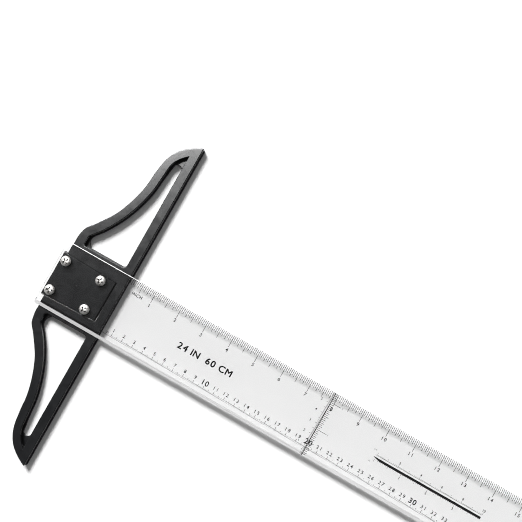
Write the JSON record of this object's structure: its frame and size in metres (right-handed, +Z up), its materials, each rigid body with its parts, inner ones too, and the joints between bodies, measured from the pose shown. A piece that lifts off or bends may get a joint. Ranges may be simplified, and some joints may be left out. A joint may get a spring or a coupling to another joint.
{
  "type": "t square",
  "caption": "Drawing T-square with a clear bevelled blade on a black moulded head that has hand windows and slides off a dovetail plate.",
  "frame": {"origin": "on the head's working face (the front of its base flange), at the blade's centreline, half way up the flange", "axes": "+X along the blade to its free end, +Y along the head towards the inch edge, +Z up out of the blade's printed face"},
  "size_m": [0.6807, 0.3114, 0.0142],
  "materials": {
    "head_plastic": "satin moulded black ABS",
    "blade_acrylic": "polished clear cast acrylic",
    "plate_plastic": "satin moulded black ABS",
    "screw_steel": "nickel-plated steel",
    "scale_ink": "black screen ink of the printed scales"
  },
  "bodies": {
    "blade_unit": {"blade": "blade_acrylic", "slide_plate": "plate_plastic", "screw_front_inch_side": "screw_steel", "screw_front_cm_side": "screw_steel", "screw_back_inch_side": "screw_steel", "screw_back_cm_side": "screw_steel"},
    "head": {"head": "head_plastic"}
  },
  "joints": [
    {"name": "head_slide", "type": "slide", "parent": "blade_unit", "child": "head", "axis": [1, 0, 0], "range_m": [0, 0.052]}
  ]
}
